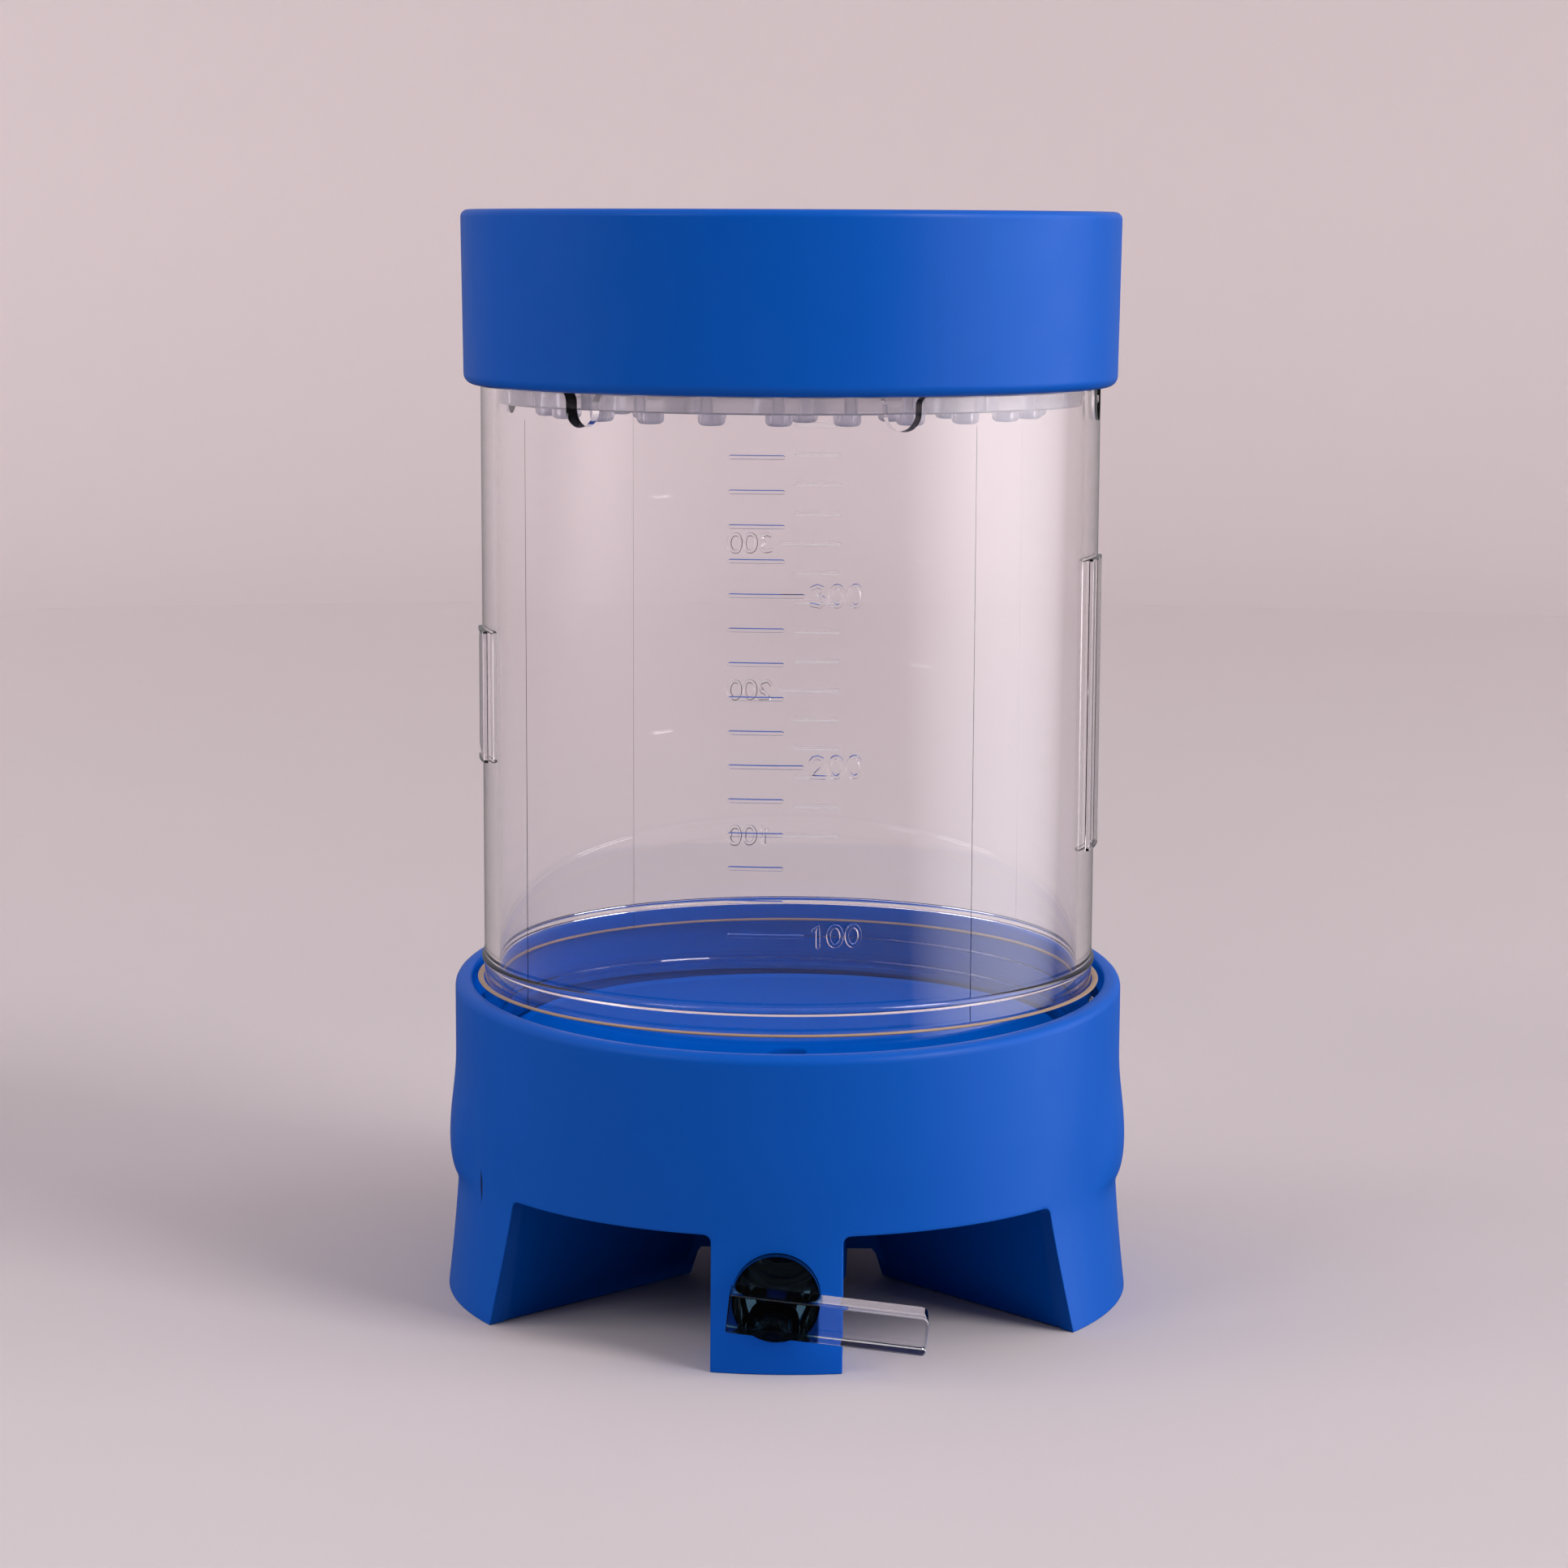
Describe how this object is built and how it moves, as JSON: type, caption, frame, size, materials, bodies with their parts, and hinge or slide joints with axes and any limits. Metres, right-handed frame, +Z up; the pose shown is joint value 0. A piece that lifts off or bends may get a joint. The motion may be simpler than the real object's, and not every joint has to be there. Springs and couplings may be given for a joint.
{
  "type": "graduated drain canister",
  "caption": "Clear graduated canister with a screw lid, a nozzle insert, and a threaded footed base with a lever drain valve.",
  "frame": {"origin": "on the barrel's axis, on the surface that the feet stand on", "axes": "+Z up along the barrel's axis; -Y is the front, where the drain valve's lever is; +X is the side that the lever points to"},
  "size_m": [0.0918, 0.0968, 0.1437],
  "materials": {
    "blue_plastic": "satin moulded blue plastic with a fine grain and small scuffs",
    "clear_plastic": "polished colourless clear plastic with a faint violet edge",
    "seal_rubber": "soft black sealing rubber",
    "amber_seal": "thin tan sealing rubber",
    "white_plastic": "white low-friction plastic",
    "spring_steel": "bright spring steel"
  },
  "bodies": {
    "base": {"base_body": "blue_plastic", "base_gasket": "seal_rubber", "valve_washer": "white_plastic"},
    "neck_ring": {"neck_seal": "amber_seal"},
    "vessel": {"barrel": "clear_plastic"},
    "insert": {"nozzle_insert": "clear_plastic", "insert_nozzles": "clear_plastic"},
    "cap_seal": {"lid_gasket": "seal_rubber"},
    "cap": {"lid": "blue_plastic"},
    "valve": {"valve_plug": "clear_plastic", "valve_seals": "seal_rubber", "valve_clip": "spring_steel"}
  },
  "joints": [
    {"name": "barrel_rise", "type": "slide", "parent": "base", "child": "neck_ring", "axis": [0, 0, 1], "range_m": [0, 0.0077]},
    {"name": "barrel_turn", "type": "hinge", "parent": "neck_ring", "child": "vessel", "pos_m": [0, 0, 0.0421], "axis": [0, 0, 1], "range_deg": [0, 810]},
    {"name": "insert_lift", "type": "slide", "parent": "vessel", "child": "insert", "axis": [0, 0, 1], "range_m": [0, 0.03]},
    {"name": "lid_rise", "type": "slide", "parent": "insert", "child": "cap_seal", "axis": [0, 0, 1], "range_m": [0, 0.0111]},
    {"name": "lid_turn", "type": "hinge", "parent": "cap_seal", "child": "cap", "pos_m": [0, 0, 0.136], "axis": [0, 0, 1], "range_deg": [0, 990]},
    {"name": "valve_turn", "type": "hinge", "parent": "base", "child": "valve", "pos_m": [0, 0, 0.0097], "axis": [0, -1, 0], "range_deg": [0, 95]}
  ],
  "couplings": [
    {"joint": "barrel_rise", "follows": "barrel_turn", "m_per_rad": 0.00054113},
    {"joint": "lid_rise", "follows": "lid_turn", "m_per_rad": 0.00063662}
  ]
}
